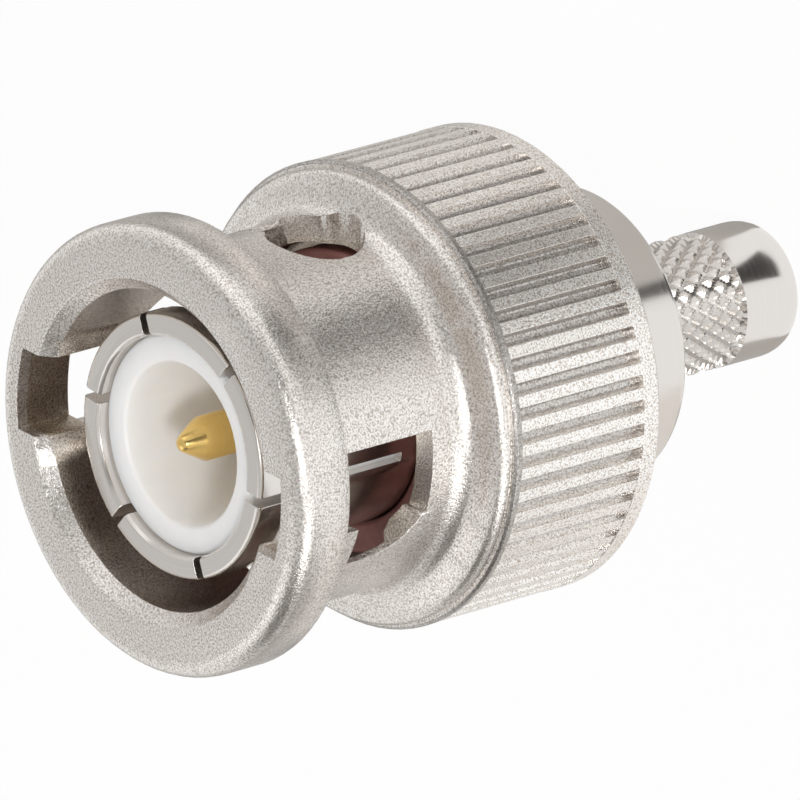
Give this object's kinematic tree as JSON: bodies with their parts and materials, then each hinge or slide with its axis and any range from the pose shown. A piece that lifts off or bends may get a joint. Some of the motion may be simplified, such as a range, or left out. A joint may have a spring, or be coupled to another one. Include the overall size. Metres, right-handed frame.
{
  "type": "bayonet coaxial cable plug",
  "caption": "Male bayonet plug for thin coaxial cable: quarter-turn coupling nut, spring-finger sleeve, insulated centre pin and a knurled crimp stem.",
  "frame": {"origin": "centre of the crimp stem's end face", "axes": "+Z along the plug's axis, from the cable end to the mating face; +X is an arbitrary direction across it, with the first entry notch 60.5 degrees round from it"},
  "size_m": [0.0142, 0.0142, 0.0243],
  "materials": {
    "cast_nickel": "fine-grained matte nickel plate on a die casting",
    "turned_nickel": "bright nickel plate on turned brass",
    "spring_steel": "bare rolled strip",
    "ptfe": "smooth white fluoropolymer",
    "gold_plate": "polished gold plate",
    "silicone": "soft red-brown silicone"
  },
  "bodies": {
    "plug": {"plug_body": "turned_nickel", "outer_contact": "turned_nickel", "insulator": "ptfe", "center_pin": "gold_plate", "gasket": "silicone", "wave_washer": "spring_steel"},
    "washer": {"thrust_washer": "spring_steel"},
    "coupling": {"coupling_nut": "cast_nickel", "retaining_ring": "spring_steel"}
  },
  "joints": [
    {"name": "coupling_slide", "type": "slide", "parent": "plug", "child": "washer", "axis": [0, 0, 1], "range_m": [0, 0.0008], "stiffness_N_per_m": 8000, "springref_m": -0.0004, "deforming": ["wave_washer"]},
    {"name": "coupling_turn", "type": "hinge", "parent": "washer", "child": "coupling", "pos_m": [0, 0, 0], "axis": [0, 0, 1], "continuous": true}
  ]
}
